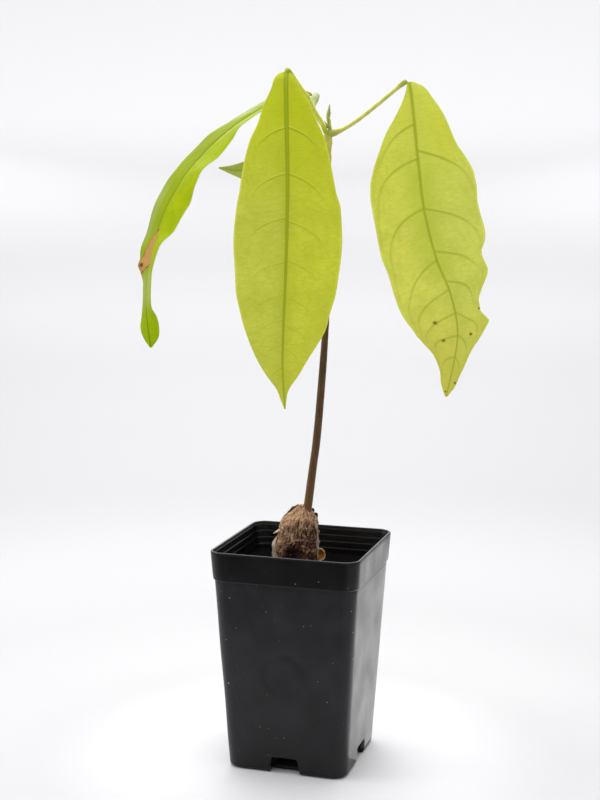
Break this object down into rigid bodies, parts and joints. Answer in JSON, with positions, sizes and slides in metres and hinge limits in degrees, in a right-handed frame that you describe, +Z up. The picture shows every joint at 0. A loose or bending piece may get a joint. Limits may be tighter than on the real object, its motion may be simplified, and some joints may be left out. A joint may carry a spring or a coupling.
{
  "type": "potted cacao tree",
  "caption": "Young cacao tree with drooping elliptical leaves on a slender bent stem, in a tapered square nursery pot.",
  "frame": {"origin": "centre of the pot's flat underside", "axes": "+Z up along the pot's middle line; the pot's sides lie along X and Y, and the broad face of the foremost leaf looks towards -Y, turned 17 degrees towards +X"},
  "size_m": [0.2106, 0.1561, 0.4057],
  "materials": {
    "pot_plastic": "black moulded polypropylene, slightly dusty and scuffed",
    "potting_soil": "dark moist potting soil with fibres",
    "seed_coat": "dry wrinkled brown seed husk",
    "stem_bark": "smooth young brown bark, greener towards the tip",
    "petiole_green": "soft green leaf stalk",
    "leaf_green": "thin yellow-green leaf with darker veins",
    "bud_green": "olive green bud scales"
  },
  "bodies": {
    "root": {"pot": "pot_plastic", "soil": "potting_soil", "seed_husk": "seed_coat", "stem": "stem_bark", "petiole_front": "petiole_green", "petiole_right": "petiole_green", "petiole_left": "petiole_green", "petiole_back": "petiole_green", "leaf_front": "leaf_green", "leaf_right": "leaf_green", "leaf_left": "leaf_green", "leaf_back": "leaf_green", "bud": "bud_green"}
  },
  "joints": []
}
